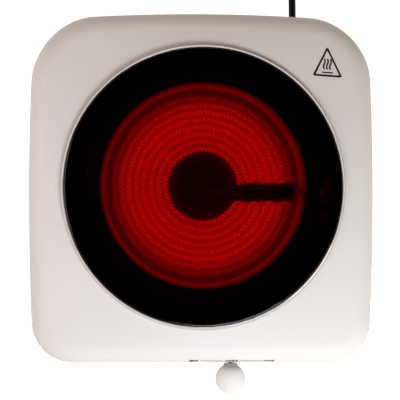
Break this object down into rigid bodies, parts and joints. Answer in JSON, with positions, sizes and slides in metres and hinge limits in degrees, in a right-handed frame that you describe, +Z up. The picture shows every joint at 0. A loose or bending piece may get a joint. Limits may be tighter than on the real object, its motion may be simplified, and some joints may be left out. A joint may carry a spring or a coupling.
{
  "type": "hot plate burner",
  "caption": "Free-standing electric hot plate: white pillow-shaped housing, round black glass-ceramic top with a glowing radiant heater, ball knob and mains cord.",
  "frame": {"origin": "on the surface that the feet stand on, under the middle of the object's box without its mains cord", "axes": "+Z up, -Y towards the front, where the knob is, +X to the right seen from the front"},
  "size_m": [0.3, 0.4543, 0.0673],
  "materials": {
    "white_enamel": "white stoved enamel on pressed steel, satin with a fine orange peel",
    "dark_enamel": "dark grey stoved enamel, matt",
    "polished_steel": "polished stainless steel",
    "black_glass_ceramic": "near black glass-ceramic, polished, lets deep red light through",
    "black_silicone": "black silicone, matt",
    "zinc_steel": "zinc plated steel",
    "insulation": "pressed microporous insulation, matt and grainy",
    "ribbon_alloy": "thin heating ribbon, glowing red",
    "quartz": "milky quartz tube",
    "steatite": "unglazed steatite",
    "phenolic": "moulded phenolic resin, dark brown",
    "brass": "plain brass",
    "white_plastic": "glossy white thermoset",
    "rubber": "black rubber, matt",
    "black_pvc": "black PVC with a soft sheen",
    "nickel_pins": "nickel plated brass",
    "wire_brown": "brown silicone insulation",
    "wire_blue": "blue silicone insulation",
    "wire_green_yellow": "green and yellow insulation"
  },
  "bodies": {
    "root": {"bimetal_strip": "brass", "bottom_cover": "dark_enamel", "clamp_screw_1": "zinc_steel", "clamp_screw_2": "zinc_steel", "cord_clamp": "steatite", "cord_coil": "black_pvc", "cord_end": "black_pvc", "cord_gland": "black_pvc", "cord_lead": "black_pvc", "cord_tail": "black_pvc", "cord_tie": "black_pvc", "earth_screw": "brass", "follower_pin": "zinc_steel", "foot_1": "rubber", "foot_2": "rubber", "foot_3": "rubber", "foot_4": "rubber", "foot_screw_1": "zinc_steel", "foot_screw_2": "zinc_steel", "foot_screw_3": "zinc_steel", "foot_screw_4": "zinc_steel", "glass_gasket": "black_silicone", "glass_plate": "black_glass_ceramic", "heat_shield": "zinc_steel", "heater_crossbar": "zinc_steel", "heater_dish": "zinc_steel", "heater_spring_1": "zinc_steel", "heater_spring_2": "zinc_steel", "heater_spring_3": "zinc_steel", "heater_terminal_block": "steatite", "heating_ribbon": "ribbon_alloy", "insulation_disc": "insulation", "insulation_wall": "insulation", "limiter_head": "steatite", "limiter_rod": "quartz", "mains_terminal_block": "steatite", "plug_body": "black_pvc", "plug_pin_1": "nickel_pins", "plug_pin_2": "nickel_pins", "regulator_bracket": "zinc_steel", "regulator_bushing": "brass", "regulator_case": "phenolic", "regulator_cover": "phenolic", "regulator_nut": "zinc_steel", "support_post_1": "zinc_steel", "support_post_2": "zinc_steel", "support_post_3": "zinc_steel", "support_post_4": "zinc_steel", "top_housing": "white_enamel", "trim_ring": "polished_steel", "wire_earth": "wire_green_yellow", "wire_limiter": "wire_brown", "wire_live": "wire_brown", "wire_neutral": "wire_blue"},
    "knob": {"knob": "white_plastic", "knob_sleeve": "zinc_steel", "regulator_shaft": "zinc_steel", "control_cam": "phenolic"},
    "follower": {"follower_lever": "brass"}
  },
  "joints": [
    {"name": "knob_turn", "type": "hinge", "parent": "root", "child": "knob", "pos_m": [0.025, -0.1521, 0.04], "axis": [0, 1, 0], "range_deg": [-135, 135]},
    {"name": "follower_rock", "type": "hinge", "parent": "root", "child": "follower", "pos_m": [0.013, -0.118, 0.05], "axis": [0, -1, 0], "range_deg": [-7.5, 7.5]}
  ],
  "couplings": [
    {"joint": "follower_rock", "follows": "knob_turn", "ratio": 0.0532}
  ]
}
